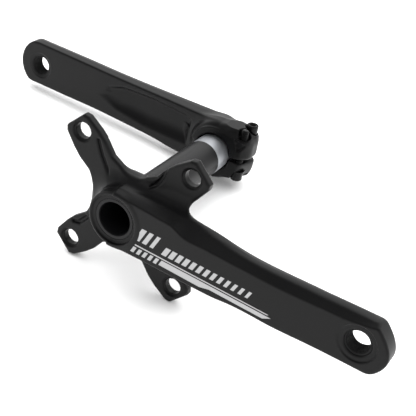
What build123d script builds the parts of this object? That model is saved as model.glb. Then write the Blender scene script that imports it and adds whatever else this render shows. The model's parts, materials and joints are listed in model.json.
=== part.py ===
from build123d import *
import os

os.makedirs("parts", exist_ok=True)

# Two-piece bicycle crankset with a 24 mm hollow spindle and a four-tab spider.
# Frame: the origin is on the spindle axis, midway between the two bearing seats.
# +X runs to the drive-side pedal, +Y to the left-hand arm, +Z is up.  Sizes in mm.

# ---- sizes that drive the rest
ARM_LENGTH = 155.0          # spindle axis to pedal axis
BOLT_CIRCLE_R = 52.0        # 104 mm bolt circle for the chainring
RING_HOLE_R = 5.05          # takes a 10 mm chainring sleeve
RING_SINK_R = 6.2           # counterbore round each chainring hole
RING_SINK_DEPTH = 1.2
SPINDLE_R = 12.0            # 24 mm spindle
SPINDLE_BORE_R = 10.2
PRESS_R = 12.4              # its thicker end, pressed into the drive-side hub
SPLINED_R = 11.8            # over the splines that carry the left-hand arm
PEDAL_R = 7.15              # 9/16 inch pedal thread
PEDAL_SPOT_R = 11.2         # faced seat for the pedal shoulder
PEDAL_SPOT_DEPTH = 0.7

# ---- stations along the spindle (distance from the middle, outboard positive)
HUB_FACE = 69.5             # outer face of the drive-side hub
SHOULDER = 45.5             # where each arm meets its bearing
PEDAL_FACE = 76.0           # outer face at the pedal, both arms
PEDAL_INNER = 63.6          # inner face at the pedal, both arms
TAB_FRONT = 54.5            # outboard face of the spider tabs
TAB_BACK = 48.5             # inboard face of the spider tabs
NECK_BACK = 46.3            # inboard face of the thicker tab necks
CLAMP_FACE = 65.5           # outer face of the left-hand clamp ear
LEFT_HUB_FACE = 68.0        # outer face of the left-hand hub

# ---- arm section
HUB_R = 17.3
END_R = 18.3
COUNTERBORE_R = 15.2
COUNTERBORE_DEPTH = 1.6

# ---- spider
TAB_END = 60.0
WEB_R = 23.0
LEDGE_R = 43.0              # the chainring is centred on this step

# ---- clamp of the left-hand arm
BOLT_X = 18.5
BOLT_Y = (50.3, 60.3)       # inboard and outboard pinch bolts
BOLT_SHANK_R = 2.5
BOLT_HEAD_R = 3.9
BOLT_HEAD_H = 6.2
BOLT_HOLE_R = 2.56
WASHER_R = 4.7
WASHER_H = 1.0
EAR_TOP = 14.2
EAR_BOTTOM = -9.4
EAR_END = 25.3
HEEL_START = 56.0           # outboard of this the lower ear is deeper, round the bolt's tip
SLOT_HALF = 1.35
LEFT_HUB_R = 21.0
LIP_R = 17.5                # raised ring round the bore's inboard mouth
LEFT_BORE_R = 11.85
BOLT_SEATS = (7.3, 15.2)    # washer seats: below the inboard bolt's ear, above the outboard's
BOLT_LENGTH = 30.0
TIP_ROOM = 0.5              # left free below the outboard bolt's tip
SOCKET_FLAT = 2.0           # half the 4 mm hexagon key
SOCKET_DEPTH = 3.4

# ---- spindle
SPINDLE_START = -HUB_FACE + COUNTERBORE_DEPTH
SPINDLE_END = 66.6
SPLINE_COUNT = 24
SPLINE_R = 0.8
SPLINE_START = 47.0
TOOTH_R = 0.65
TOOTH_END = 64.0

# ---- preload cap
SEAL_R = 11.4
CAP_THREAD_R = 10.12
CAP_FLANGE_R = 14.6
CAP_FLANGE_H = 2.6
CAP_STEM = 11.0
CAP_SOCKET_R = 6.4


def across(y):
    """Plane square to the spindle at y, with world X and Z as its own axes, facing -Y."""
    return Plane(origin=(0, y, 0), x_dir=(1, 0, 0), z_dir=(0, -1, 0))


def level(z):
    """Horizontal plane at height z."""
    return Plane.XY.offset(z)


def outer_face(u):
    """Distance outboard of an arm's outer face at u from the spindle."""
    return HUB_FACE + (PEDAL_FACE - HUB_FACE) * u / ARM_LENGTH


def inner_face(u):
    """Distance outboard of an arm's inner face at u from the spindle."""
    root = 54.6
    return root + (PEDAL_INNER - root) * u / ARM_LENGTH


def blank(plan_profile, hub_r):
    """An arm's blank: its outline seen along the spindle, cut to its profile from above."""
    reach = 40.0
    with BuildPart() as piece:
        with BuildSketch(across(-SHOULDER)):
            Circle(hub_r)
            with Locations((ARM_LENGTH, 0)):
                Circle(END_R)
            make_hull()
        extrude(amount=reach)
        with BuildSketch(level(-reach)):
            with BuildLine():
                Polyline(*plan_profile, close=True)
            make_face()
        extrude(amount=2 * reach, mode=Mode.INTERSECT)
    return piece.part


def flank_cutter(stations):
    """What the forging leaves away beside the ridge, on the trailing side of the outer face."""
    with BuildPart() as piece:
        for u, ridge, foot, foot_height in stations:
            outer = outer_face(u)
            hollow_y = -(0.45 * outer + 0.55 * foot)
            hollow_z = 0.66 * ridge + 0.34 * foot_height
            with BuildSketch(Plane.YZ.offset(u)):
                with BuildLine():
                    Polyline(
                        (-outer - 6, ridge - 0.5),
                        (-outer, ridge),
                        (hollow_y, hollow_z),
                        (-foot, foot_height),
                        (-foot, foot_height + 20),
                        (-outer - 6, foot_height + 20),
                        close=True,
                    )
                make_face()
        loft(ruled=True)
    return piece.part


def pocket_cutter(start, end, depth):
    """The long pointed hollow in an arm's inner face, with sloping walls."""
    with BuildPart() as piece:
        with BuildSketch(across(-inner_face(0.5 * (start + end)) + 1.5)):
            with BuildLine():
                Polyline(
                    (start, 8.5),
                    (start, -10.5),
                    (start + 3, -12.0),
                    (end - 26, -11.6),
                    (end - 8, -7.5),
                    (end, 1.0),
                    (end - 22, 8.0),
                    close=True,
                )
            make_face()
        extrude(amount=depth + 1.5, taper=22)
    return piece.part


def pedal_hole(x, outer, inner):
    """Pedal thread bore with a faced seat at each end."""
    outward = 1 if outer > 0 else -1
    with BuildPart() as piece:
        with BuildSketch(across(outer)):
            with Locations((x, 0)):
                Circle(PEDAL_R)
        extrude(amount=30, both=True)
        with BuildSketch(across(outer - outward * PEDAL_SPOT_DEPTH)):
            with Locations((x, 0)):
                Circle(PEDAL_SPOT_R)
        extrude(amount=-outward * 5)
    return piece.part


def tab_outline():
    """One spider tab lying along +X, with its bolt hole on the bolt circle."""
    with BuildSketch() as tab:
        with BuildLine():
            Polyline(
                (8, -14),
                (24, -12.4),
                (31, -10.4),
                (40, -11.6),
                (47, -11.4),
                (57, -9.6),
                (TAB_END, -7.2),
                (TAB_END, 7.2),
                (57, 9.6),
                (47, 11.4),
                (40, 11.6),
                (31, 10.4),
                (24, 12.4),
                (8, 14),
                close=True,
            )
        make_face()
    return tab.sketch


# ---- drive-side arm with its spider, one forging
drive_profile = [
    (-HUB_R - 8, -SHOULDER),
    (-HUB_R - 8, -HUB_FACE),
    (0, -HUB_FACE),
    (ARM_LENGTH + 20, -outer_face(ARM_LENGTH + 20)),
    (ARM_LENGTH + 20, -PEDAL_INNER),
    (ARM_LENGTH - 12, -PEDAL_INNER),
    (62, -inner_face(62)),
    (46, -TAB_BACK),
    (15.6, -SHOULDER),
]
drive_flank = [
    (-6, 17.6, 56.0, 24),
    (16, 15.9, 56.0, 22),
    (40, 14.6, 57.5, 20),
    (64, 11.6, 64.0, 17.4),
    (90, 9.3, 68.0, 15.9),
    (130, 10.0, 70.0, 15.8),
    (156, 12.0, 70.5, 17.0),
    (166, 15.4, 72.0, 16.6),
]
spider_angles = [45, 135, 225, 315]

with BuildPart() as drive_arm:
    add(blank(drive_profile, HUB_R))
    with BuildSketch(across(-TAB_BACK)):
        for angle in spider_angles:
            add(tab_outline(), rotation=angle)
        Circle(WEB_R)
    extrude(amount=TAB_FRONT - TAB_BACK)
    with BuildSketch(across(-NECK_BACK)):
        for angle in spider_angles:
            add(tab_outline(), rotation=angle)
        Circle(WEB_R)
        Circle(LEDGE_R, mode=Mode.INTERSECT)
    extrude(amount=TAB_BACK - NECK_BACK)
    with BuildSketch(across(-NECK_BACK)):
        Circle(WEB_R - 1)
    extrude(amount=TAB_FRONT + 3.0 - NECK_BACK, taper=18)
    add(flank_cutter(drive_flank), mode=Mode.SUBTRACT)
    with BuildSketch(across(-SHOULDER)):
        Circle(15.6)
    extrude(amount=3)
    with BuildSketch(across(0)):
        Circle(PRESS_R)
    extrude(amount=90, mode=Mode.SUBTRACT)
    with BuildSketch(across(SPINDLE_START)):
        Circle(COUNTERBORE_R)
    extrude(amount=10, mode=Mode.SUBTRACT)
    for angle in spider_angles:
        with BuildSketch(across(-40)):
            with PolarLocations(BOLT_CIRCLE_R, 1, start_angle=angle):
                Circle(RING_HOLE_R)
        extrude(amount=22, mode=Mode.SUBTRACT)
        with BuildSketch(across(-TAB_FRONT + RING_SINK_DEPTH)):
            with PolarLocations(BOLT_CIRCLE_R, 1, start_angle=angle):
                Circle(RING_SINK_R)
        extrude(amount=4, mode=Mode.SUBTRACT)
    add(pocket_cutter(52, 101, 4.0), mode=Mode.SUBTRACT)
    add(pedal_hole(ARM_LENGTH, -PEDAL_FACE, -PEDAL_INNER), mode=Mode.SUBTRACT)
drive_arm.part.label = "drive_arm"
export_step(drive_arm.part, "parts/drive_arm.step")


# ---- hollow spindle, thicker in the drive-side hub and splined at the other end
with BuildPart() as spindle:
    with BuildSketch(across(SPINDLE_END)):
        Circle(SPLINED_R)
    extrude(amount=SPINDLE_END - SPINDLE_START)
    with BuildSketch(across(SPINDLE_END)):
        with PolarLocations(SPLINED_R, SPLINE_COUNT):
            Circle(SPLINE_R)
    extrude(amount=SPINDLE_END - SPLINE_START, mode=Mode.SUBTRACT)
    with BuildSketch(across(SHOULDER)):
        Circle(SPINDLE_R)
    extrude(amount=2 * SHOULDER)
    with BuildSketch(across(-SHOULDER)):
        Circle(PRESS_R)
    extrude(amount=-SHOULDER - SPINDLE_START)
    with BuildSketch(across(SPINDLE_END)):
        Circle(SPINDLE_BORE_R)
    extrude(amount=2 * HUB_FACE, mode=Mode.SUBTRACT)
    mouths = spindle.edges().filter_by(GeomType.CIRCLE).filter_by(
        lambda edge: abs(edge.radius - SPINDLE_BORE_R) < 0.01
    )
    chamfer(mouths.sort_by(Axis.Y)[0], length=0.5)
spindle.part.label = "spindle"
export_step(spindle.part, "parts/spindle.step")

# ---- left-hand arm: the mirrored blank, a split clamp with two ears, and a splined bore
left_profile = [
    (-22, -51.0),
    (-22, -LEFT_HUB_FACE),
    (16, -LEFT_HUB_FACE),
    (36, -outer_face(36)),
    (ARM_LENGTH + 20, -outer_face(ARM_LENGTH + 20)),
    (ARM_LENGTH + 20, -PEDAL_INNER),
    (ARM_LENGTH - 12, -PEDAL_INNER),
    (26, -inner_face(26)),
    (14, -51.0),
]
left_flank = [
    (10, 16.0, 62.0, 21.0),
    (40, 13.6, 62.0, 18.5),
    (64, 11.6, 64.0, 17.4),
    (90, 9.3, 68.0, 15.9),
    (130, 10.0, 70.0, 15.8),
    (156, 12.0, 70.5, 17.0),
    (166, 15.4, 72.0, 16.6),
]
left_blank = blank(left_profile, LEFT_HUB_R) - flank_cutter(left_flank)
left_blank = left_blank - pocket_cutter(24, 101, 5.0)
left_blank = left_blank - pedal_hole(ARM_LENGTH, -PEDAL_FACE, -PEDAL_INNER)
left_blank = left_blank.mirror(Plane.XZ).rotate(Axis.Y, 180)

with BuildPart() as left_arm:
    add(left_blank)
    with BuildSketch(across(CLAMP_FACE)):
        with BuildLine():
            Polyline(
                (0, 20.5),
                (10.5, 19.5),
                (13.4, EAR_TOP),
                (EAR_END - 1.5, EAR_TOP),
                (EAR_END, EAR_TOP - 4),
                (EAR_END, -7),
                (22.6, -11),
                (15.5, EAR_BOTTOM),
                (0, -18),
                close=True,
            )
        make_face()
    extrude(amount=CLAMP_FACE - SHOULDER - 1.2)
    with BuildSketch(across(CLAMP_FACE)):
        with BuildLine():
            Polyline(
                (0, 0),
                (0, -20),
                (16.5, -18.6),
                (21.4, -15.6),
                (23.6, -11),
                (EAR_END, -7),
                (EAR_END, 0),
                close=True,
            )
        make_face()
    extrude(amount=CLAMP_FACE - HEEL_START)
    with BuildSketch(across(SHOULDER + 6)):
        Circle(LIP_R + 2.2)
    extrude(amount=6, taper=20)
    # faced seats for the washers, and a clear way for the inboard bolt's tip
    for y in BOLT_Y:
        with BuildSketch(level(EAR_TOP)):
            with Locations((BOLT_X, y)):
                Circle(WASHER_R + 0.5)
        extrude(amount=12, mode=Mode.SUBTRACT)
    with BuildSketch(level(EAR_TOP)):
        with Locations((BOLT_X, BOLT_Y[1])):
            Circle(WASHER_R + 0.3)
    extrude(amount=BOLT_SEATS[1] - EAR_TOP)
    with BuildSketch(level(-BOLT_SEATS[0])):
        with Locations((BOLT_X, BOLT_Y[0])):
            Circle(WASHER_R + 0.3)
    extrude(amount=-12, mode=Mode.SUBTRACT)
    # the slot that lets the clamp close
    with BuildSketch(across(0)):
        with Locations(((EAR_END + 8) / 2, 0)):
            Rectangle(EAR_END - 8 + 4, 2 * SLOT_HALF)
    extrude(amount=-90, mode=Mode.SUBTRACT)
    # bore with the teeth that fill the spindle's splines
    with BuildSketch(across(0)):
        Circle(LEFT_BORE_R)
    extrude(amount=-90, mode=Mode.SUBTRACT)
    with BuildSketch(across(TOOTH_END)):
        with PolarLocations(SPLINED_R + 0.1, SPLINE_COUNT):
            Circle(TOOTH_R)
        Rectangle(60, 3 * SLOT_HALF, align=(Align.MIN, Align.CENTER), mode=Mode.SUBTRACT)
    extrude(amount=TOOTH_END - SPLINE_START - 2)
    # the two pinch-bolt holes
    with BuildSketch(level(-20)):
        with Locations((BOLT_X, BOLT_Y[0])):
            Circle(BOLT_HOLE_R)
    extrude(amount=50, mode=Mode.SUBTRACT)
    with BuildSketch(level(BOLT_SEATS[1] + WASHER_H - BOLT_LENGTH - TIP_ROOM)):
        with Locations((BOLT_X, BOLT_Y[1])):
            Circle(BOLT_HOLE_R)
    extrude(amount=50, mode=Mode.SUBTRACT)
left_arm.part.label = "left_arm"
export_step(left_arm.part, "parts/left_arm.step")


# ---- two pinch bolts that face opposite ways, each on its washer
def pinch_washer(y, seat, up):
    """Washer lying on its seat; up is +1 where the bolt enters from above, -1 from below."""
    with BuildPart() as piece:
        with BuildSketch(level(seat)):
            with Locations((BOLT_X, y)):
                Circle(WASHER_R)
                Circle(BOLT_HOLE_R + 0.1, mode=Mode.SUBTRACT)
        extrude(amount=up * WASHER_H)
    return piece.part


def pinch_bolt(y, seat, up):
    """Socket-head cap screw on its washer, with a hexagon socket in its head."""
    under_head = seat + up * WASHER_H
    top = under_head + up * BOLT_HEAD_H
    with BuildPart() as piece:
        with BuildSketch(level(under_head)):
            with Locations((BOLT_X, y)):
                Circle(BOLT_SHANK_R)
        extrude(amount=-up * BOLT_LENGTH)
        tip = piece.edges().filter_by(GeomType.CIRCLE).sort_by(Axis.Z)[0 if up > 0 else -1]
        chamfer(tip, length=0.5)
        with BuildSketch(level(under_head)):
            with Locations((BOLT_X, y)):
                Circle(BOLT_HEAD_R)
        extrude(amount=up * BOLT_HEAD_H)
        rim = piece.edges().filter_by(GeomType.CIRCLE).sort_by(Axis.Z)[-1 if up > 0 else 0]
        chamfer(rim, length=0.4)
        with BuildSketch(level(top)):
            with Locations((BOLT_X, y)):
                RegularPolygon(radius=SOCKET_FLAT, side_count=6, major_radius=False)
        extrude(amount=-up * SOCKET_DEPTH, mode=Mode.SUBTRACT)
    return piece.part


with BuildPart() as pinch_washer_inboard:
    add(pinch_washer(BOLT_Y[0], -BOLT_SEATS[0], -1))
pinch_washer_inboard.part.label = "pinch_washer_inboard"
export_step(pinch_washer_inboard.part, "parts/pinch_washer_inboard.step")

with BuildPart() as pinch_washer_outboard:
    add(pinch_washer(BOLT_Y[1], BOLT_SEATS[1], 1))
pinch_washer_outboard.part.label = "pinch_washer_outboard"
export_step(pinch_washer_outboard.part, "parts/pinch_washer_outboard.step")

with BuildPart() as pinch_bolt_inboard:
    add(pinch_bolt(BOLT_Y[0], -BOLT_SEATS[0], -1))
pinch_bolt_inboard.part.label = "pinch_bolt_inboard"
export_step(pinch_bolt_inboard.part, "parts/pinch_bolt_inboard.step")

with BuildPart() as pinch_bolt_outboard:
    add(pinch_bolt(BOLT_Y[1], BOLT_SEATS[1], 1))
pinch_bolt_outboard.part.label = "pinch_bolt_outboard"
export_step(pinch_bolt_outboard.part, "parts/pinch_bolt_outboard.step")

# ---- preload cap in the spindle's left-hand end, with its rubber seal
with BuildPart() as cap_seal:
    with BuildSketch(across(SPINDLE_END + 0.1)):
        Circle(SEAL_R)
        Circle(CAP_THREAD_R + 0.1, mode=Mode.SUBTRACT)
    extrude(amount=-(LEFT_HUB_FACE - SPINDLE_END - 0.15))
cap_seal.part.label = "cap_seal"
export_step(cap_seal.part, "parts/cap_seal.step")

with BuildPart() as preload_cap:
    with BuildSketch(across(LEFT_HUB_FACE)):
        Circle(CAP_FLANGE_R)
    extrude(amount=-CAP_FLANGE_H)
    rim = preload_cap.edges().filter_by(GeomType.CIRCLE).sort_by(Axis.Y)[-1]
    chamfer(rim, length=0.9)
    with BuildSketch(across(LEFT_HUB_FACE)):
        Circle(CAP_THREAD_R)
    extrude(amount=CAP_STEM)
    with BuildSketch(across(LEFT_HUB_FACE + CAP_FLANGE_H)):
        Circle(CAP_SOCKET_R)
        with PolarLocations(CAP_SOCKET_R, 8):
            Circle(1.3)
    extrude(amount=CAP_FLANGE_H + CAP_STEM - 2.5, mode=Mode.SUBTRACT)
preload_cap.part.label = "preload_cap"
export_step(preload_cap.part, "parts/preload_cap.step")
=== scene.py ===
import json
from math import cos, pi, radians, sin

import bpy
import numpy as np
from mathutils import Matrix, Vector


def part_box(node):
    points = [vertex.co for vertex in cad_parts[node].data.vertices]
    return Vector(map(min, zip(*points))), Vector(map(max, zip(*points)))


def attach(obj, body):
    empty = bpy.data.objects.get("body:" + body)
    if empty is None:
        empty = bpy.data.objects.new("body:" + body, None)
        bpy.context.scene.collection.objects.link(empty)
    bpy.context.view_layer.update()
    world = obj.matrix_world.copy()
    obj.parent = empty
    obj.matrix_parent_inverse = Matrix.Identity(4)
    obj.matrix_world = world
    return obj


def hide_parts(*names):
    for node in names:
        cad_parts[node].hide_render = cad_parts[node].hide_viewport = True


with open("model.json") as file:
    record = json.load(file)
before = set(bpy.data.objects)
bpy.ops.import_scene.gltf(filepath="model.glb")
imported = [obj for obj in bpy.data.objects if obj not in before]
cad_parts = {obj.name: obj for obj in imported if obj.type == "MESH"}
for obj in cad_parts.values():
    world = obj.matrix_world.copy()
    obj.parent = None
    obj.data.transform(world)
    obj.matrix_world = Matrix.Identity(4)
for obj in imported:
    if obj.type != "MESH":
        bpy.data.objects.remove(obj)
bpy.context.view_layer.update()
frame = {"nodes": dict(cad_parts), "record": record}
MM = 0.001

# ---- sizes in millimetres: the first four come from the record's mounts, and the others follow the
# CAD model, with a little more room in the bores
MOUNTS = {mount["name"]: mount for mount in frame["record"]["mounts"]}
PEDAL_MOUNT = MOUNTS["drive_pedal_thread"]
RING_HOLES = MOUNTS["chainring_holes"]["dims"]
ARM_LENGTH = PEDAL_MOUNT["pos_m"][0] / MM   # spindle axis to pedal axis
PEDAL_R = PEDAL_MOUNT["dims"]["r_mm"]
BOLT_CIRCLE_R = RING_HOLES["pcd_mm"] / 2
RING_HOLE_R = RING_HOLES["hole_r_mm"]

HUB_R = 17.3
HUB_FACE = 69.5             # outer face of the drive-side hub
PEDAL_FACE = 76.0           # outer face at the pedal, both arms
INNER_ROOT = 54.6           # both arms' inner face, carried on to the spindle's axis
PEDAL_INNER = 63.6          # inner face at the pedal
SHOULDER = 45.5             # where each arm meets its bearing
TAB_FRONT = 54.5            # outboard face of the spider's tabs
TAB_BACK = 48.5
NECK_BACK = 46.3            # inboard face of the thicker tab necks
LEDGE_R = 43.0              # the chainring is centred on this step
RING_SINK_R = 6.2
RING_SINK_DEPTH = 1.2
COUNTERBORE_R = 15.2
COUNTERBORE_DEPTH = 1.6
DRIVE_BORE_R = 12.45
LEFT_BORE_R = 11.9
BOLT_X = 18.5
BOLT_Y = (50.3, 60.3)       # inboard and outboard pinch bolts
BOLT_HOLE_R = 2.75
INBOARD_SEAT = -7.3         # under the head of the inboard bolt, whose tip points up
OUTBOARD_SEAT = 15.2        # under the head of the outboard bolt, whose tip points down
SLOT_HALF = 1.35            # half the width of the clamp's slot
SLOT_START = 9              # the slot runs from here through the ears
VOXEL = 0.66   # cell of the grid that the arms are meshed on


def node_box(name):
    """A CAD node's lowest and highest corners in millimetres."""
    low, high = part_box(name)
    return np.array(low) / MM, np.array(high) / MM


# =====================================================================================
# Distance fields: every function takes millimetres and returns a signed distance, negative inside
# =====================================================================================
def blend_min(a, b, k):
    """Union of two fields with a fillet about k wide."""
    h = np.maximum(k - np.abs(a - b), 0.0) / k
    return np.minimum(a, b) - h * h * k * 0.25


def blend_max(a, b, k):
    """Intersection of two fields with an edge rounded about k wide."""
    return -blend_min(-a, -b, k)


def cut(body, tool, k):
    """The body with the tool taken away, its new edges rounded by k."""
    return blend_max(body, -tool, k)


def all_of(parts, k):
    """Rounded intersection of several fields."""
    field = parts[0]
    for part in parts[1:]:
        field = blend_max(field, part, k)
    return field


def outline(x, y, corners):
    """Signed distance to a closed outline in the plane."""
    nearest = None
    sign = 1.0
    for (ax, ay), (bx, by) in zip(corners, corners[-1:] + corners[:-1]):
        ex, ey = bx - ax, by - ay
        wx, wy = x - ax, y - ay
        t = np.clip((wx * ex + wy * ey) / (ex * ex + ey * ey), 0.0, 1.0)
        square = (wx - ex * t) ** 2 + (wy - ey * t) ** 2
        nearest = square if nearest is None else np.minimum(nearest, square)
        above, below, left = y >= ay, y < by, ex * wy > ey * wx
        flip = (above & below & left) | (~above & ~below & ~left)
        sign = np.where(flip, -sign, sign)
    return sign * np.sqrt(nearest)


def bead(points, x, y, width):
    """Distance to a round-ended stroke through points in the plane, less its half width."""
    nearest = None
    for (ax, ay), (bx, by) in zip(points[:-1], points[1:]):
        ex, ey = bx - ax, by - ay
        t = np.clip(((x - ax) * ex + (y - ay) * ey) / (ex * ex + ey * ey), 0.0, 1.0)
        square = (x - ax - ex * t) ** 2 + (y - ay - ey * t) ** 2
        nearest = square if nearest is None else np.minimum(nearest, square)
    return np.sqrt(nearest) - width


def ramp(x, stations):
    """Smooth value along the part, through (place, value) stations."""
    places = np.array([place for place, _ in stations], float)
    values = np.array([value for _, value in stations], float)
    slopes = np.gradient(values, places)
    i = np.clip(np.searchsorted(places, x) - 1, 0, len(places) - 2)
    span = places[i + 1] - places[i]
    t = np.clip((x - places[i]) / span, 0.0, 1.0)
    return (
        (2 * t**3 - 3 * t**2 + 1) * values[i]
        + (t**3 - 2 * t**2 + t) * span * slopes[i]
        + (3 * t**2 - 2 * t**3) * values[i + 1]
        + (t**3 - t**2) * span * slopes[i + 1]
    )


# ---- the blade that both arms share: u along the arm, w outboard, v towards the hollowed flank
def outer_face(u):
    """Place of the flat outer face, which leans outboard towards the pedal."""
    return HUB_FACE + (PEDAL_FACE - HUB_FACE) * u / ARM_LENGTH


def inner_face(u):
    """Place of the flat inner face."""
    return INNER_ROOT + (PEDAL_INNER - INNER_ROOT) * u / ARM_LENGTH


# stations along u: the flank runs from the ridge on the outer face (v) down to its foot (w), FOOT_HEIGHT
# is the foot's v, an edge is the lower side's distance from the axis, and a swell widens the upper side
RIDGE = [(-20, 17.5), (-3, 16.6), (10, 16.2), (28, 15.0), (38, 14.1), (45, 11.2), (62, 10.4), (84, 9.7),
         (110, 9.2), (131, 10.1), (150, 11.2), (160, 13.0), (172, 17.0)]
FOOT = [(-20, 60.0), (0, 58.5), (30, 58.0), (55, 61.0), (75, 65.0), (95, 67.6), (130, 69.4), (160, 70.6),
        (172, 71.5)]
FOOT_HEIGHT = [(-20, 24), (10, 22.5), (40, 20.0), (64, 17.4), (90, 15.9), (130, 15.8), (172, 16.4)]
DRIVE_EDGE = [(-20, 17.2), (5, 17.2), (21, 16.9), (60, 17.3), (70, 17.1), (78, 16.2), (111, 16.2),
              (132, 15.4), (172, 15.2)]
LEFT_EDGE = [(-20, 17.2), (5, 17.2), (21, 16.6), (50, 15.7), (90, 14.9), (120, 15.0), (172, 14.8)]
DRIVE_SWELL = [(0, 3.2), (40, 3.1), (54, 2.0), (65, 0.3), (78, -1.4), (125, -1.5), (150, -0.6), (172, 0.0)]
LEFT_SWELL = [(0, 4.0), (30, 3.2), (42, 2.4), (56, 1.3), (75, 0.6), (110, 0.0), (130, 0.5), (172, 0.9)]
UPPER_SIDE = 14.0
UPPER_DRAFT = 0.30
LOWER_SIDE = 17.6
LOWER_DRAFT = 0.04
EDGE_DRAFT = 0.32
EDGE_DEPTH = 6
FLANK_MIN_RISE = 3.5
FLANK_START = 1.7           # slope with which the flank leaves the ridge
FLANK_LEAN = 1.2            # the flank's steeper slope over its mean one
END_R = 18.2
FACET = (0.752, 0.659, 17.0)   # direction of the drive arm's end facet, and its distance from the pedal


def blade(u, w, v, edge, swell, end_facet):
    """The arm's blank: flat outer and inner faces, drafted sides, and the hollowed flank."""
    outer = outer_face(u)
    middle = 0.5 * (outer + inner_face(u))
    sides = [
        w - outer,
        inner_face(u) - w,
        -v - ramp(u, edge) - EDGE_DRAFT * np.clip(outer - w, 0, EDGE_DEPTH),
        -v - LOWER_SIDE - LOWER_DRAFT * (w - middle),
        v - UPPER_SIDE - ramp(u, swell) - UPPER_DRAFT * (w - inner_face(u)),
    ]
    body = all_of(sides, 1.5)
    ridge = ramp(u, RIDGE)
    depth = outer - ramp(u, FOOT)
    rise = np.maximum(ramp(u, FOOT_HEIGHT) - ridge, FLANK_MIN_RISE)
    s = (v - ridge) / rise
    hollow = np.where(s < 0, FLANK_START * s, np.sin(0.5 * pi * np.clip(s, 0, 1)))
    flank = (w - outer + depth * hollow) / np.sqrt(1 + (depth / rise * FLANK_LEAN)**2)
    # a crisp edge at the ridge, and a wide fillet at the foot
    body = blend_max(body, flank, 0.6 + 6.5 * np.clip((s - 0.35) / 0.5, 0, 1))
    end = np.hypot(np.maximum(u - ARM_LENGTH, 0.0), v) - END_R
    if end_facet:
        along, across, distance = FACET
        end = blend_max(end, (u - ARM_LENGTH) * along + v * across - distance, 7.0)
    return blend_max(body, end, 1.6)


def pocket(u, w, v, start, end, depth):
    """The long pointed hollow in the inner face, its wall leaning more on the flank side."""
    shape = outline(u, v, [
        (start, 9.0), (start - 1, -10.5), (start + 4, -12.6), (end - 44, -13.4), (end - 20, -11.9),
        (end - 7, -7.9), (end, 1.0), (end - 16, 6.6), (end - 40, 9.4),
    ])
    wall = w - inner_face(u)
    lean = np.where(v > -4, 0.95, 0.35)
    side = (shape + wall * lean) / np.sqrt(1 + lean**2)
    floor = depth * ramp(u, [
        (start - 20, 0.72), (start + 8, 1.0), (start + 26, 0.95), (end - 28, 0.8), (end, 0.14),
        (end + 20, 0.0),
    ])
    return blend_max(side, wall - floor, 3.0)


BORE_ROOM = 0.3             # the pedal bore's gap round its nominal radius
OUTER_SEAT_R = 11.0
OUTER_SEAT = PEDAL_FACE - 0.8
INNER_SEAT_R = 9.2
INNER_SEAT = PEDAL_INNER + 0.6
BORE_CHAMFER_R = 8.4


def pedal_bore(u, w, v, body):
    """Takes the pedal thread's bore, its chamfer and its two faced seats out of the body."""
    r = np.hypot(u - ARM_LENGTH, v)
    body = cut(body, r - PEDAL_R - BORE_ROOM, 0.35)
    body = cut(body, (r - BORE_CHAMFER_R + OUTER_SEAT - w) * sin(radians(45)), 0.3)
    body = cut(body, np.maximum(r - OUTER_SEAT_R, OUTER_SEAT - w), 0.25)
    return cut(body, np.maximum(r - INNER_SEAT_R, w - INNER_SEAT), 0.5)


# ---- the spider: (s, t) runs out along a tab and across it
TAB = [(8, -14), (24, -12.4), (31, -10.4), (40, -11.6), (47, -11.3), (57.2, -9.6), (60, -7.4),
       (60, 7.4), (57.2, 9.6), (47, 11.3), (40, 11.6), (31, 10.4), (24, 12.4), (8, 14)]
TAB_SHIFT = 0.6             # the tab's outline sits this far off its hole's line
TAB_ANGLES = (45, 135, 225, 315)
GROOVED_SIDE = {45: 1, 135: -1, 225: -1, 315: 1}
GROOVES = {
    45: [(13, 6.4), (18, 6), (27, 5.6), (34, 7.3), (38, 9.4), (39.5, 12)],
    135: [(14, 0.4), (21, 1.6), (28, 2.6), (36, 4.6), (43, 7.4)],
    225: [(42, 8.4), (38.7, 6.0), (31, 6.7)],
    315: [(42, 8.4), (38.7, 6.0), (31, 6.7)],
}
GROOVE_HALF = 1.0
GROOVE_DEPTH = 1.5
WEB_R = 22.0
WEB_TOP_R = 18.6            # between the two upper tabs


def tab_place(x, z, angle):
    """Places along a tab and across it, its grooved side positive."""
    a = radians(angle)
    return x * cos(a) + z * sin(a), (z * cos(a) - x * sin(a)) * GROOVED_SIDE[angle]


def spider(x, w, z):
    """Four tabs on a round web, with the step for the chainring and a groove on each tab's front."""
    r = np.hypot(x, z)
    plan = r - np.where(z > abs(x), WEB_TOP_R, WEB_R)
    for angle in TAB_ANGLES:
        s, t = tab_place(x, z, angle)
        plan = blend_min(plan, outline(s, t + TAB_SHIFT, TAB), 6.0)
    neck_back = NECK_BACK + 1.2 * np.clip((r - 20) / 6, 0, 1)
    back = np.where(r < LEDGE_R, neck_back, TAB_BACK) - w
    slab = blend_max(blend_max(plan, w - TAB_FRONT, 1.8), back, np.where(r < LEDGE_R, 4.5, 1.6))
    for angle in TAB_ANGLES:
        s, t = tab_place(x, z, angle)
        groove = bead(GROOVES[angle], s, t, GROOVE_HALF)
        slab = cut(slab, np.maximum(groove, TAB_FRONT - GROOVE_DEPTH - w), 1.2)
        hole = np.hypot(s - BOLT_CIRCLE_R, t)
        slab = cut(slab, hole - RING_HOLE_R, 0.35)
        slab = cut(slab, np.maximum(hole - RING_SINK_R, TAB_FRONT - RING_SINK_DEPTH - w), 0.3)
    return slab


ARM_START = -2              # the blade begins here, inside the hub
FAR = 30.0                  # a field's value where there is no arm
COLLAR_R = 15.6
FLARE_R = 17.6
FLARE_TOP = 62.0            # outboard of this the drive hub is straight
FLARE_GROWTH = 0.092        # how fast the hub flares inboard of it, and how much less it does on top
FLARE_TOP_LESS = 0.060
NECK_HALF = 14.4
NECK_START = 16
NECK_END = 95
DRIVE_POCKET = (66, 104, 4.0)


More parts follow.
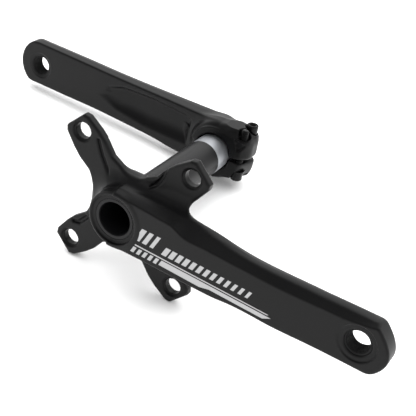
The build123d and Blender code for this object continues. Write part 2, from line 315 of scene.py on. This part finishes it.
def drive_field(x, y, z):
    """The drive-side arm, hub and spider as one forging."""
    u, w, v = x, -y, z
    r = np.hypot(x, z)
    hub = all_of([r - HUB_R, w - outer_face(u), NECK_BACK - w], 1.4)
    above = np.clip((z / np.maximum(r, 1.0) - 0.70) / 0.22, 0, 1)
    growth = FLARE_GROWTH - FLARE_TOP_LESS * above
    flare = r - FLARE_R - growth * np.clip(FLARE_TOP - w, 0, 9) ** 2
    hub = blend_min(hub, all_of([flare, w - FLARE_TOP - 1, NECK_BACK - w], 1.0), 1.5)
    arm = np.where(u > ARM_START, blade(u, w, v, DRIVE_EDGE, DRIVE_SWELL, True), FAR)
    # the neck fills the corner behind the blade, and its back slopes up into the inner face
    neck_slope = 46 - w + np.clip(u - NECK_START, 0, 90) * 0.27
    neck = all_of([np.abs(v) - NECK_HALF + 0.012 * u, neck_slope, w - 64, u - NECK_END, -u], 2.0)
    arm = blend_min(arm, neck, 1.5)
    arm = cut(arm, pocket(u, w, v, *DRIVE_POCKET), 0.8)
    arm = pedal_bore(u, w, v, arm)
    body = blend_min(hub, arm, 2.0)
    # a wider fillet where the upper tab meets the arm
    root = np.clip((x - 14) / 14, 0, 1) * np.clip(z / 8, 0, 1)
    body = blend_min(body, spider(x, w, z), 6.5 + 3.0 * root)
    collar = all_of([r - COLLAR_R, SHOULDER - w, w - 50], 0.8)
    body = np.minimum(body, collar)
    body = cut(body, np.maximum(r - COUNTERBORE_R, HUB_FACE - COUNTERBORE_DEPTH - w), 0.35)
    return cut(body, r - DRIVE_BORE_R, 0.3)


EAR_CENTRE = (12.6, 55.4)   # x and w of the clamp's ears, seen from above
EAR_CORE = (4.6, 2.2)       # half sides of their middle, which the corner radius is added to
EAR_CORNER_R = 8.0
EAR_TOP = 15.4
EAR_BOTTOM = -14.8
BOSS_R = 5.1                # round the outboard bolt's seat
BOSS_START = 4
OUTBOARD_SEAT_R = 5.2
OUTBOARD_HOLE_END = -14.4
INBOARD_SEAT_R = 4.8
INBOARD_HOLE_END = -22
TIP_ROOM_R = 4.2            # round the inboard bolt's tip
LEFT_HUB_R = 19.6
LEFT_HUB_BACK = 47.2
LEFT_HUB_FACE = 68
LIP_R = 17.5                # raised ring round the bore's inboard mouth
LIP_BORE_R = 12.9
LIP_DEPTH = 1.4
LEFT_POCKET = (25, 101, 5.4)
DIMPLE = [(14.4, 14.4), (21.6, 12.6), (17.4, 7.6)]
RIB_PITCH = 1.6
RIB_HALF = 0.22


def ear_plan(x, w):
    """Outline of the clamp's ears seen from above, its corners rounded."""
    a = np.abs(x - EAR_CENTRE[0]) - EAR_CORE[0]
    b = np.abs(w - EAR_CENTRE[1]) - EAR_CORE[1]
    return np.hypot(np.maximum(a, 0), np.maximum(b, 0)) + np.minimum(np.maximum(a, b), 0) - EAR_CORNER_R


def clamp_ears(x, w, z):
    """The upper ear with its boss, and the lower ear, which is deeper outboard round the bolt's tip."""
    r = np.hypot(x, z)
    ear = ear_plan(x, w)
    upper = all_of([ear, z - EAR_TOP - 0.10 * (18 - x), SLOT_HALF - z], 3.4)
    around = np.hypot(x - BOLT_X, w - BOLT_Y[1]) - BOSS_R
    boss = blend_max(around, np.maximum(BOSS_START - z, z - OUTBOARD_SEAT), 0.9)
    upper = blend_min(upper, boss, 2.0)
    reach = 20.3 + 0.9 * np.clip((x - 10) / 8, 0, 1)
    deeper = EAR_BOTTOM - z - 0.22 * (w - 50)
    lower = all_of([ear, z + SLOT_HALF, r - reach - 0.27 * (w - SHOULDER), deeper], 2.0)
    return upper, lower


def clamp_cuts(x, w, z, body):
    """Takes the bolts' seats and holes, the slot and the bore out of the left arm."""
    r = np.hypot(x, z)
    inboard = np.hypot(x - BOLT_X, w - BOLT_Y[0])
    outboard = np.hypot(x - BOLT_X, w - BOLT_Y[1])
    body = cut(body, np.maximum(outboard - OUTBOARD_SEAT_R, OUTBOARD_SEAT - z), 0.3)
    body = cut(body, np.maximum(inboard - TIP_ROOM_R, OUTBOARD_SEAT - z), 0.4)
    body = cut(body, np.maximum(inboard - INBOARD_SEAT_R, z - INBOARD_SEAT), 0.3)
    body = cut(body, np.maximum(inboard - BOLT_HOLE_R, INBOARD_HOLE_END - z), 0.3)
    body = cut(body, np.maximum(outboard - BOLT_HOLE_R, OUTBOARD_HOLE_END - z), 0.3)
    body = cut(body, np.maximum(np.abs(z) - SLOT_HALF, SLOT_START - x), 0.5)
    body = cut(body, np.maximum(r - LIP_BORE_R, w - SHOULDER - LIP_DEPTH), 0.3)
    return cut(body, r - LEFT_BORE_R, 0.3)


def left_field(x, y, z):
    """The left-hand arm with its split clamp."""
    u, w, v = -x, y, -z
    r = np.hypot(x, z)
    arm = blend_max(blade(u, w, v, LEFT_EDGE, LEFT_SWELL, False), -6.0 - u, 14.0)
    # the hub is fuller on top, towards the clamp
    shift = np.clip(x, 0, 9) * np.clip((z - 6) / 10, 0, 1)
    wide = np.hypot(x - shift, z - 0.3 * shift) - LEFT_HUB_R
    hub = all_of([wide + 0.42 * np.clip(w - 58, 0, 10), LEFT_HUB_BACK - w, w - LEFT_HUB_FACE], 4.0)
    lip = all_of([r - LIP_R, SHOULDER - w, w - 60], 1.2)
    body = blend_min(arm, hub, 7.0)
    for ear in clamp_ears(x, w, z):
        body = blend_min(body, ear, 3.0)
    body = blend_min(body, lip, 0.9)
    body = cut(body, pocket(u, w, v, *LEFT_POCKET), 1.0)
    body = pedal_bore(u, w, v, body)
    # a ribbed dimple beside the bore
    dimple = outline(x, z, DIMPLE) - 0.5
    body = cut(body, np.maximum(dimple, w - SHOULDER - 1.2), 0.7)
    rib = np.abs(((x - DIMPLE[0][0]) % RIB_PITCH) - RIB_PITCH / 2) - RIB_HALF
    body = np.minimum(body, all_of([rib, dimple + 0.2, SHOULDER + 0.6 - w, w - 48], 0.2))
    return clamp_cuts(x, w, z, body)


# =====================================================================================
# Meshes
# =====================================================================================
def nearer(field, points, step):
    """The points moved along the field's slope to its zero surface, by at most half a step."""
    reach = 0.02
    x, y, z = points.T
    here = field(x, y, z)
    slope = np.stack([
        field(x + reach, y, z) - here,
        field(x, y + reach, z) - here,
        field(x, y, z + reach) - here,
    ], 1) / reach
    move = here / np.maximum((slope**2).sum(1), 0.2)
    move = np.clip(move, -0.5 * step, 0.5 * step)
    return points - 0.9 * move[:, None] * slope


def net(field, low, high, step):
    """Points and quads of a field's zero surface, by surface nets, drawn onto the exact surface."""
    size = np.ceil((high - low) / step).astype(int) + 1
    axes = [low[i] + step * np.arange(size[i]) for i in range(3)]
    grid = np.meshgrid(*axes, indexing="ij", sparse=True)
    values = np.ascontiguousarray(np.broadcast_to(field(*grid), size)).astype(np.float32)
    inside = values < 0
    offsets = [(i, j, k) for i in (0, 1) for j in (0, 1) for k in (0, 1)]
    count = np.zeros(size - 1, np.int8)
    for i, j, k in offsets:
        count += inside[i:size[0] - 1 + i, j:size[1] - 1 + j, k:size[2] - 1 + k]
    cells = np.argwhere((count > 0) & (count < 8))
    index = np.full(size - 1, -1, np.int32)
    index[tuple(cells.T)] = np.arange(len(cells))
    corner = [values[tuple((cells + o).T)] for o in offsets]
    total = np.zeros((len(cells), 3))
    hits = np.zeros(len(cells))
    for a in range(8):
        for b in range(a + 1, 8):
            start, end = np.array(offsets[a], float), np.array(offsets[b], float)
            if np.abs(end - start).sum() != 1:
                continue
            crosses = (corner[a] < 0) != (corner[b] < 0)
            t = np.where(crosses, corner[a] / np.where(crosses, corner[a] - corner[b], 1), 0)
            total += crosses[:, None] * (start + t[:, None] * (end - start))
            hits += crosses
    points = low + step * (cells + total / hits[:, None])
    quads = []
    for axis in range(3):
        one, two = (axis + 1) % 3, (axis + 2) % 3
        first = [slice(None)] * 3
        second = [slice(None)] * 3
        first[axis], second[axis] = slice(0, -1), slice(1, None)
        flips = np.argwhere(inside[tuple(first)] != inside[tuple(second)])
        keep = np.ones(len(flips), bool)
        for other in (one, two):
            keep &= (flips[:, other] > 0) & (flips[:, other] < size[other] - 1)
        flips = flips[keep]
        ring = []
        for back_one, back_two in ((1, 1), (0, 1), (0, 0), (1, 0)):
            cell = flips.copy()
            cell[:, one] -= back_one
            cell[:, two] -= back_two
            ring.append(index[tuple(cell.T)])
        ring = np.stack(ring, 1)
        starts_inside = inside[tuple(flips.T)]
        quads.append(np.where(starts_inside[:, None], ring, ring[:, ::-1]))
    for _ in range(3):
        points = nearer(field, points, step)
    return points, np.concatenate(quads)


def mesh_object(name, points, faces, smooth=True):
    """A Blender object from millimetre points; its origin stays at the frame's origin."""
    mesh = bpy.data.meshes.new(name)
    points = np.asarray(points, float) * MM
    if isinstance(faces, np.ndarray):
        mesh.vertices.add(len(points))
        mesh.vertices.foreach_set("co", points.astype(np.float32).ravel())
        mesh.loops.add(faces.size)
        mesh.loops.foreach_set("vertex_index", faces.astype(np.int32).ravel())
        mesh.polygons.add(len(faces))
        starts = np.arange(len(faces)) * faces.shape[1]
        mesh.polygons.foreach_set("loop_start", starts.astype(np.int32))
        mesh.update(calc_edges=True)
    else:
        mesh.from_pydata([tuple(p) for p in points], [], faces)
    mesh.validate()
    mesh.polygons.foreach_set("use_smooth", [smooth] * len(mesh.polygons))
    piece = bpy.data.objects.new(name, mesh)
    bpy.context.scene.collection.objects.link(piece)
    return piece


def rings(name, stack, count, axis, centre, closed=False):
    """Skin over rings of points. stack holds (height, radius), where a radius is a number or a
    function of the angle and the height. axis is 'y' or 'z'. closed joins the last ring to the
    first, and without it both ends are capped."""
    angle = np.arange(count) * 2 * pi / count
    points = []
    for height, radius in stack:
        r = radius(angle, height) if callable(radius) else np.full(count, float(radius))
        a, b = r * np.cos(angle), r * np.sin(angle)
        h = np.full(count, float(height))
        points.append(np.stack((a, h, b) if axis == "y" else (a, b, h), 1))
    points = np.concatenate(points) + np.array(centre, float)
    total = len(stack)
    faces = []
    for i in range(total if closed else total - 1):
        low, high = i * count, ((i + 1) % total) * count
        for j in range(count):
            k = (j + 1) % count
            faces.append((low + j, low + k, high + k, high + j))
    points = list(map(tuple, points))
    if not closed:
        for start, order in ((0, -1), ((total - 1) * count, 1)):
            ring = list(range(start, start + count))[::order]
            middle = np.mean([points[i] for i in ring], axis=0)
            points.append(tuple(middle))
            faces += [(ring[i], ring[(i + 1) % count], len(points) - 1) for i in range(count)]
    piece = mesh_object(name, points, faces)
    turn_outward(piece)
    return piece


def turn_outward(piece):
    """Makes all of the piece's faces look outward."""
    bpy.context.view_layer.objects.active = piece
    for other in bpy.context.selected_objects:
        other.select_set(False)
    piece.select_set(True)
    bpy.ops.object.mode_set(mode="EDIT")
    bpy.ops.mesh.select_all(action="SELECT")
    bpy.ops.mesh.normals_make_consistent(inside=False)
    bpy.ops.object.mode_set(mode="OBJECT")


def hexagon(flat):
    """Radius of a hexagon at each angle, flat being half the width across its flats."""
    return lambda angle, height: flat / np.cos((angle + pi / 6) % (pi / 3) - pi / 6)


def helix(crest, root, pitch):
    """Radius of a screw thread at each angle and height."""
    def radius(angle, height):
        turn = (height / pitch - angle / (2 * pi)) % 1.0
        tooth = np.clip(np.abs(turn * 2 - 1) * 1.35 - 0.12, 0, 1)
        return root + (crest - root) * tooth
    return radius


# =====================================================================================
# Materials
# =====================================================================================
MOTTLE = 40.0               # scale of the slow drift in colour
GRAIN_DEPTH = 0.00005       # of the bump, in metres


def set_range(node, **limits):
    """Sets a map range node's limits: from_min, from_max, to_min or to_max."""
    for limit, value in limits.items():
        node.inputs[limit.replace("_", " ").title()].default_value = value


def material(name, base, other, roughness, spread, grain, bump, specular=0.5):
    """A surface whose colour drifts between two tones and whose grain is in its roughness and bump."""
    made = bpy.data.materials.new(name)
    made.use_nodes = True
    tree = made.node_tree
    nodes, link = tree.nodes, tree.links.new
    shader = nodes["Principled BSDF"]
    shader.inputs["Specular IOR Level"].default_value = specular
    place = nodes.new("ShaderNodeTexCoord")
    broad = nodes.new("ShaderNodeTexNoise")
    broad.inputs["Scale"].default_value = MOTTLE
    broad.inputs["Detail"].default_value = 4
    fine = nodes.new("ShaderNodeTexNoise")
    fine.inputs["Scale"].default_value = grain
    fine.inputs["Detail"].default_value = 3
    link(place.outputs["Object"], broad.inputs["Vector"])
    link(place.outputs["Object"], fine.inputs["Vector"])
    tone = nodes.new("ShaderNodeMix")
    tone.data_type = "RGBA"
    tone.inputs["A"].default_value = (*base, 1)
    tone.inputs["B"].default_value = (*other, 1)
    link(broad.outputs["Fac"], tone.inputs["Factor"])
    link(tone.outputs["Result"], shader.inputs["Base Color"])
    gloss = nodes.new("ShaderNodeMapRange")
    set_range(gloss, from_min=0.3, from_max=0.7, to_min=roughness - spread, to_max=roughness + spread)
    link(fine.outputs["Fac"], gloss.inputs["Value"])
    link(gloss.outputs["Result"], shader.inputs["Roughness"])
    relief = nodes.new("ShaderNodeBump")
    relief.inputs["Strength"].default_value = bump
    relief.inputs["Distance"].default_value = GRAIN_DEPTH
    link(fine.outputs["Fac"], relief.inputs["Height"])
    link(relief.outputs["Normal"], shader.inputs["Normal"])
    return made


BLACK = material("satin_black", (0.0014, 0.0014, 0.0015), (0.0026, 0.0026, 0.0028),
                 roughness=0.40, spread=0.05, grain=5200, bump=0.30, specular=0.175)
OXIDE = material("black_oxide", (0.0008, 0.0008, 0.0008), (0.0020, 0.0020, 0.0020),
                 roughness=0.24, spread=0.05, grain=3000, bump=0.15, specular=0.16)
PRINT = material("silver_print", (0.36, 0.36, 0.365), (0.42, 0.42, 0.425),
                 roughness=0.42, spread=0.05, grain=4200, bump=0.15, specular=0.3)
PLASTIC = material("black_plastic", (0.0035, 0.0035, 0.0035), (0.0060, 0.0060, 0.0060),
                   roughness=0.5, spread=0.06, grain=2500, bump=0.4, specular=0.2)
RUBBER = material("seal_rubber", (0.0030, 0.0030, 0.0030), (0.0050, 0.0050, 0.0050),
                  roughness=0.75, spread=0.06, grain=2200, bump=0.4, specular=0.15)

BARE_START = (0.0326, 0.0328)   # the coating ends over this length of y, in metres
BORE_EDGE = 0.0106              # surface nearer the axis than this is the tube's inside


def spindle_material():
    """Black coated tube whose left end is bare: a ground bearing seat and bright splines."""
    made = material("spindle_steel", (0.0035, 0.0035, 0.0038), (0.0055, 0.0055, 0.0060),
                    roughness=0.38, spread=0.05, grain=3800, bump=0.2, specular=0.2)
    tree = made.node_tree
    nodes, link = tree.nodes, tree.links.new
    shader = nodes["Principled BSDF"]
    place = nodes.new("ShaderNodeTexCoord")
    parts = nodes.new("ShaderNodeSeparateXYZ")
    link(place.outputs["Object"], parts.inputs["Vector"])
    bare = nodes.new("ShaderNodeMapRange")
    set_range(bare, from_min=BARE_START[0], from_max=BARE_START[1])
    link(parts.outputs["Y"], bare.inputs["Value"])
    flat = nodes.new("ShaderNodeCombineXYZ")
    link(parts.outputs["X"], flat.inputs["X"])
    link(parts.outputs["Z"], flat.inputs["Y"])
    radius = nodes.new("ShaderNodeVectorMath")
    radius.operation = "LENGTH"
    link(flat.outputs["Vector"], radius.inputs[0])
    skin = nodes.new("ShaderNodeMath")
    skin.operation = "GREATER_THAN"
    skin.inputs[1].default_value = BORE_EDGE
    link(radius.outputs["Value"], skin.inputs[0])
    mask = nodes.new("ShaderNodeMath")
    mask.operation = "MULTIPLY"
    link(bare.outputs["Result"], mask.inputs[0])
    link(skin.outputs["Value"], mask.inputs[1])
    # fine lines that run round the tube, as a lathe leaves them
    turned = nodes.new("ShaderNodeMapping")
    turned.inputs["Scale"].default_value = (0.04, 1.0, 0.04)
    link(place.outputs["Object"], turned.inputs["Vector"])
    lines = nodes.new("ShaderNodeTexNoise")
    lines.inputs["Scale"].default_value = 1500
    lines.inputs["Detail"].default_value = 4
    link(turned.outputs["Vector"], lines.inputs["Vector"])
    steel = nodes.new("ShaderNodeMix")
    steel.data_type = "RGBA"
    steel.inputs["A"].default_value = (0.42, 0.435, 0.46, 1)
    steel.inputs["B"].default_value = (0.52, 0.535, 0.56, 1)
    link(lines.outputs["Fac"], steel.inputs["Factor"])
    coating = shader.inputs["Base Color"].links[0].from_socket
    colour = nodes.new("ShaderNodeMix")
    colour.data_type = "RGBA"
    link(mask.outputs["Value"], colour.inputs["Factor"])
    link(coating, colour.inputs["A"])
    link(steel.outputs["Result"], colour.inputs["B"])
    link(colour.outputs["Result"], shader.inputs["Base Color"])
    link(mask.outputs["Value"], shader.inputs["Metallic"])
    sheen = nodes.new("ShaderNodeMapRange")
    set_range(sheen, to_min=0.04, to_max=0.22)
    link(skin.outputs["Value"], sheen.inputs["Value"])
    link(sheen.outputs["Result"], shader.inputs["Specular IOR Level"])
    rough = nodes.new("ShaderNodeMix")
    link(mask.outputs["Value"], rough.inputs["Factor"])
    link(shader.inputs["Roughness"].links[0].from_socket, rough.inputs["A"])
    polish = nodes.new("ShaderNodeMapRange")
    set_range(polish, to_min=0.42, to_max=0.56)
    link(lines.outputs["Fac"], polish.inputs["Value"])
    link(polish.outputs["Result"], rough.inputs["B"])
    link(rough.outputs["Result"], shader.inputs["Roughness"])
    return made


def paint(piece, surface):
    """Gives the piece one material."""
    piece.data.materials.clear()
    piece.data.materials.append(surface)


# =====================================================================================
# Pieces
# =====================================================================================
def arm_piece(name, field, node, body):
    """An arm meshed from its field, kept within its CAD node's box."""
    low, high = node_box(node)
    margin = 1.5
    points, quads = net(field, low - margin, high + margin, VOXEL)
    piece = mesh_object(name, np.clip(points, low, high), quads)
    paint(piece, BLACK)
    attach(piece, body)
    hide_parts(node)
    return piece


arm_piece("drive_arm_forging", drive_field, "drive_arm", "drive_side")
arm_piece("left_arm_forging", left_field, "left_arm", "left_side")


BOLT_HEAD_R = 3.9
BOLT_HEAD_H = 6.2
SOCKET_FLAT = 2.0           # half the 4 mm hexagon key
SOCKET_DEPTH = 3.4
SHANK_R = 2.46
PLAIN_SHANK = 8.0
BOLT_PITCH = 0.8


def pinch_bolt(name, y, node, body, up):
    """Socket-head cap screw with a hexagon socket, a turned head and a cut thread.
    up is 1 where the head is on top, and -1 where it is below."""
    low, high = node_box(node)
    top, tip = (high[2], low[2]) if up > 0 else (low[2], high[2])
    # (depth below the head's top, radius): the socket's floor and wall, the top, the side and the underside
    head = [(3.8, 0.4), (SOCKET_DEPTH, hexagon(SOCKET_FLAT)), (0.35, hexagon(SOCKET_FLAT)), (0.02, 2.55),
            (0, 2.75), (0, 3.25), (0.12, 3.55), (0.45, 3.82), (0.9, BOLT_HEAD_R),
            (BOLT_HEAD_H - 0.5, BOLT_HEAD_R), (BOLT_HEAD_H - 0.1, 3.8), (BOLT_HEAD_H, 3.6),
            (BOLT_HEAD_H, 2.6)]
    stack = [(top - up * depth, radius) for depth, radius in head]
    under = top - up * (BOLT_HEAD_H + 0.3)
    thread_from = under - up * PLAIN_SHANK
    stack += [(under, SHANK_R), (thread_from, SHANK_R)]
    steps = 6
    thread = helix(2.48, 2.05, BOLT_PITCH)
    count = int((abs(tip - thread_from) - 0.6) / BOLT_PITCH * steps)
    for i in range(1, count + 1):
        stack.append((thread_from - up * i * BOLT_PITCH / steps, thread))
    stack += [(tip + up * 0.25, 1.95), (tip, 1.6)]
    piece = rings(name, stack, 60, "z", (BOLT_X, y, 0))
    paint(piece, OXIDE)
    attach(piece, body)
    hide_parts(node)
    return piece


pinch_bolt("inboard_cap_screw", BOLT_Y[0], "pinch_bolt_inboard", "inboard_bolt", -1)
pinch_bolt("outboard_cap_screw", BOLT_Y[1], "pinch_bolt_outboard", "outboard_bolt", 1)


PEDAL_PITCH = 1.27          # 20 threads per inch
SLEEVE_R = 7.7              # the sleeve's outside, buried in the arm
SLEEVE_MOUTH_R = 7.2


def pedal_thread(name, x, outward, body):
    """The cut thread inside a pedal hole, as a sleeve set into the bore's wall.
    outward is the sign of y towards the arm's outer face."""
    start = outward * (PEDAL_INNER + 0.9)
    end = outward * (PEDAL_FACE - 1.7)
    steps = 8
    thread = helix(6.4, 7.3, PEDAL_PITCH)
    stack = [(start, SLEEVE_R), (start, SLEEVE_MOUTH_R)]
    count = int(abs(end - start) / PEDAL_PITCH * steps)
    for i in range(1, count):
        stack.append((start + (end - start) * i / count, thread))
    stack += [(end, SLEEVE_MOUTH_R), (end, SLEEVE_R)]
    piece = rings(name, stack, 72, "y", (x, 0, 0), closed=True)
    paint(piece, BLACK)
    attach(piece, body)
    return piece


pedal_thread("drive_pedal_thread_cut", ARM_LENGTH, -1, "drive_side")
pedal_thread("left_pedal_thread_cut", -ARM_LENGTH, 1, "left_side")

# the plain turned parts keep their CAD meshes
for node, surface in (("spindle", spindle_material()), ("preload_cap", PLASTIC), ("cap_seal", RUBBER),
                      ("pinch_washer_inboard", OXIDE), ("pinch_washer_outboard", OXIDE)):
    paint(frame["nodes"][node], surface)


# ---- plain silver stripes printed on the drive arm's outer face
PRINT_PROUD = 0.05
PRINT_SUNK = 0.15


def print_shape(name, corners):
    """A thin flat shape on the outer face, given by its (u, v) corners."""
    points = []
    for lift in (PRINT_PROUD, -PRINT_SUNK):
        points += [(u, -outer_face(u) - lift, v) for u, v in corners]
    n = len(corners)
    faces = [tuple(range(n)), tuple(range(2 * n - 1, n - 1, -1))]
    faces += [(i, i + n, (i + 1) % n + n, (i + 1) % n) for i in range(n)]
    piece = mesh_object(name, points, faces, smooth=False)
    paint(piece, PRINT)
    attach(piece, "drive_side")
    return piece


def slanted(u, low, high, width):
    """Corners of a slanted bar standing on (u, low)."""
    lean = 0.45 * (high - low)
    return [(u, low), (u + width, low), (u + width + lean, high), (u + lean, high)]


print_shape("stripe_thin", [(13.5, -8.5), (104.0, -10.0), (105.0, -9.4), (13.8, -7.7)])
print_shape("stripe_wide", [(34.0, -13.2), (61.5, -14.0), (67.7, -12.6), (101.8, -13.4), (106.6, -10.9),
                            (35.6, -9.6)])
for i in range(5):
    print_shape(f"stripe_dash_{i}", slanted(14.5 + 3.9 * i, -13.6, -9.7, 2.2))
for i in range(3):
    print_shape(f"stripe_block_{i}", slanted(16.0 + 5.2 * i, -4.9, 4.0, 3.4 - 0.5 * i))
for i in range(13):
    print_shape(f"stripe_bar_{i}", slanted(34.5 + 4.55 * i, -5.9, -0.2 - 0.09 * i, 3.3 - 0.12 * i))


# =====================================================================================
# Stage, lights and camera, in metres
# =====================================================================================
SHEET_END = 40.0            # the sheet reaches this far each way
SHEET_LOW = -0.075
SHEET_HEIGHTS = [(-SHEET_END, SHEET_LOW), (-0.25, SHEET_LOW), (-0.12, -0.0655), (-0.05, -0.0482),
                 (0.0, -0.0370), (0.05, -0.0258), (0.074, -0.0218), (0.10, -0.0222), (0.16, -0.034),
                 (0.3, -0.060), (0.5, SHEET_LOW), (SHEET_END, SHEET_LOW)]


def sheet_floor():
    """White sheet that rises under the resting points and falls away again behind them."""
    ys = np.concatenate([
        np.linspace(-SHEET_END, -0.3, 30),
        np.linspace(-0.28, 0.52, 220),
        np.linspace(0.6, SHEET_END, 30),
    ])
    zs = ramp(ys, SHEET_HEIGHTS)
    xs = np.linspace(-SHEET_END, SHEET_END, 41)
    points = [(x / MM, y / MM, z / MM) for y, z in zip(ys, zs) for x in xs]
    n = len(xs)
    faces = [(r * n + c, r * n + c + 1, (r + 1) * n + c + 1, (r + 1) * n + c)
             for r in range(len(ys) - 1) for c in range(n - 1)]
    floor = mesh_object("floor_sheet", points, faces)
    paper = material("white_paper", (0.92, 0.92, 0.92), (0.94, 0.94, 0.94),
                     roughness=0.9, spread=0.03, grain=300, bump=0.02)
    paint(floor, paper)


sheet_floor()


def world_light():
    """Bright studio all round, with a dark flag above the front."""
    bright, dim = 1.35, 0.42
    world = bpy.data.worlds.new("studio")
    bpy.context.scene.world = world
    world.use_nodes = True
    nodes, link = world.node_tree.nodes, world.node_tree.links.new
    place = nodes.new("ShaderNodeTexCoord")
    flag = nodes.new("ShaderNodeVectorMath")
    flag.operation = "DOT_PRODUCT"
    flag.inputs[1].default_value = Vector((-0.08, -0.34, 0.94)).normalized()
    link(place.outputs["Generated"], flag.inputs[0])
    level = nodes.new("ShaderNodeMapRange")
    level.interpolation_type = "SMOOTHSTEP"
    set_range(level, from_min=0.38, from_max=0.78, to_min=bright, to_max=dim)
    link(flag.outputs["Value"], level.inputs["Value"])
    link(level.outputs["Result"], nodes["Background"].inputs["Strength"])
    nodes["Background"].inputs["Color"].default_value = (1, 1, 1, 1)


world_light()


def area_light(name, place, width, height, power, glossy):
    """A rectangular lamp that faces the origin; glossy says whether reflections show it."""
    lamp = bpy.data.lights.new(name, "AREA")
    lamp.shape = "RECTANGLE"
    lamp.size, lamp.size_y, lamp.energy = width, height, power
    holder = bpy.data.objects.new(name, lamp)
    bpy.context.scene.collection.objects.link(holder)
    holder.location = place
    holder.rotation_euler = (-Vector(place)).to_track_quat("-Z", "Y").to_euler()
    holder.visible_glossy = glossy


area_light("overhead", (0.0, -0.1, 1.6), 2.4, 2.4, 58, glossy=False)
area_light("top_back", (0.1, 0.9, 1.1), 1.4, 0.8, 4, glossy=True)

CAMERA_PLACE = (0.2400, -0.4818, 0.3041)
AZIMUTH = radians(24.0)
ELEVATION = radians(30.9)
ROLL = radians(11.275)


def add_camera():
    """The camera in front on the drive side, above the part and rolled a little."""
    back = Vector((sin(AZIMUTH) * cos(ELEVATION), -cos(AZIMUTH) * cos(ELEVATION), sin(ELEVATION)))
    level_right = Vector((cos(AZIMUTH), sin(AZIMUTH), 0))
    level_up = back.cross(level_right)
    right = level_right * cos(ROLL) + level_up * sin(ROLL)
    up = level_up * cos(ROLL) - level_right * sin(ROLL)
    lens = bpy.data.cameras.new("camera")
    lens.sensor_width = 36.0
    lens.lens = 86.18
    lens.clip_start = 0.01
    camera = bpy.data.objects.new("camera", lens)
    bpy.context.scene.collection.objects.link(camera)
    turn = Matrix((right, up, back)).transposed().to_4x4()
    camera.matrix_world = Matrix.Translation(CAMERA_PLACE) @ turn
    bpy.context.scene.camera = camera


add_camera()
bpy.context.scene.view_settings.view_transform = "Standard"
